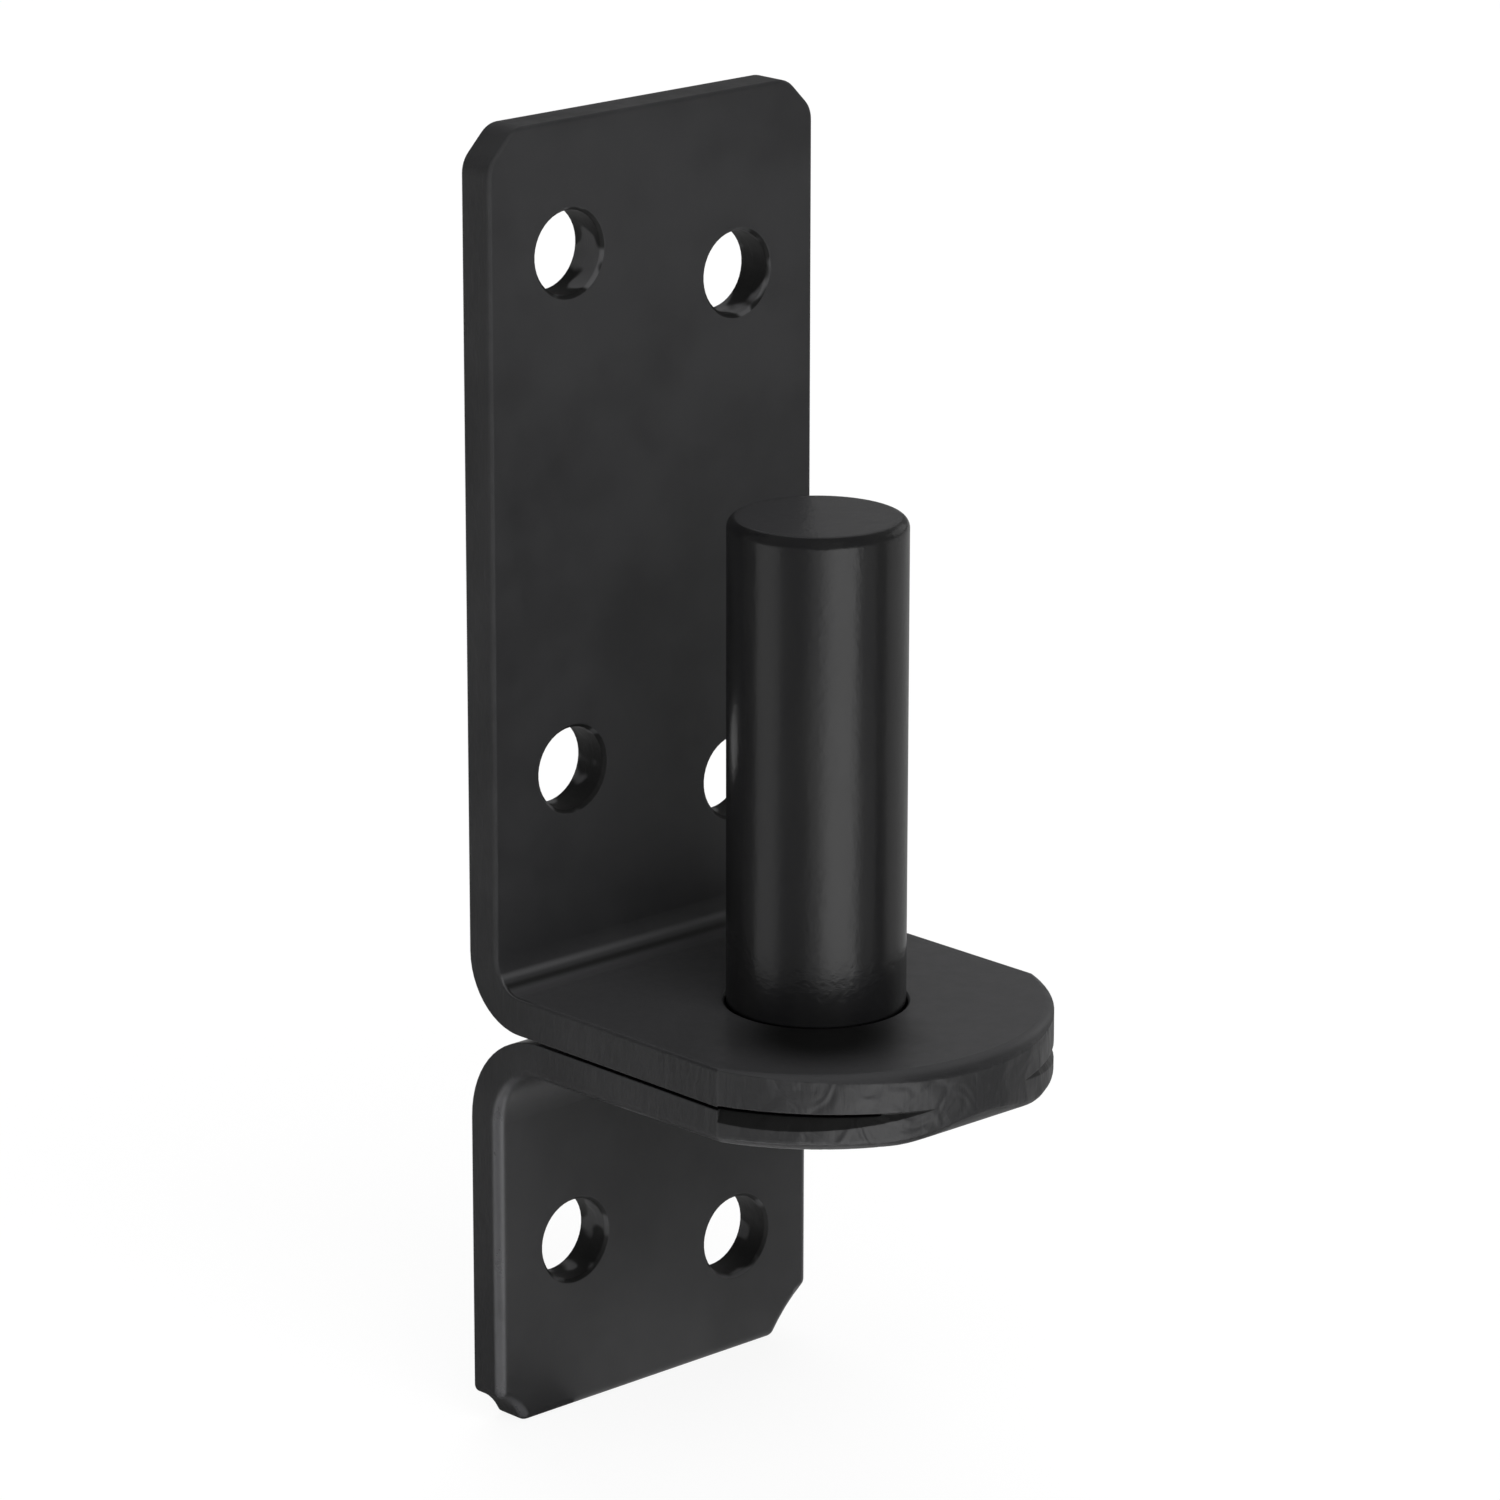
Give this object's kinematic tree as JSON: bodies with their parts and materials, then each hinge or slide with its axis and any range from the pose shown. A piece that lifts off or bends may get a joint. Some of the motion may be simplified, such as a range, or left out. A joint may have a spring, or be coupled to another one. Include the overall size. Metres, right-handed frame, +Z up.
{
  "type": "gate hinge pin",
  "caption": "Folded strip wall plate with a doubled, round-fronted shelf and an upright pin riveted through it, for a gate hinge eye to drop over.",
  "frame": {"origin": "on the pin's axis, at the top face of the shelf", "axes": "+Z up along the pin, -Y out from the wall, X along the width of the plate"},
  "size_m": [0.0384, 0.0459, 0.1197],
  "materials": {
    "folded_plate": "black coat, satin gloss",
    "hinge_pin": "black coat, satin gloss"
  },
  "bodies": {
    "root": {"folded_plate": "folded_plate", "hinge_pin": "hinge_pin"}
  },
  "joints": []
}
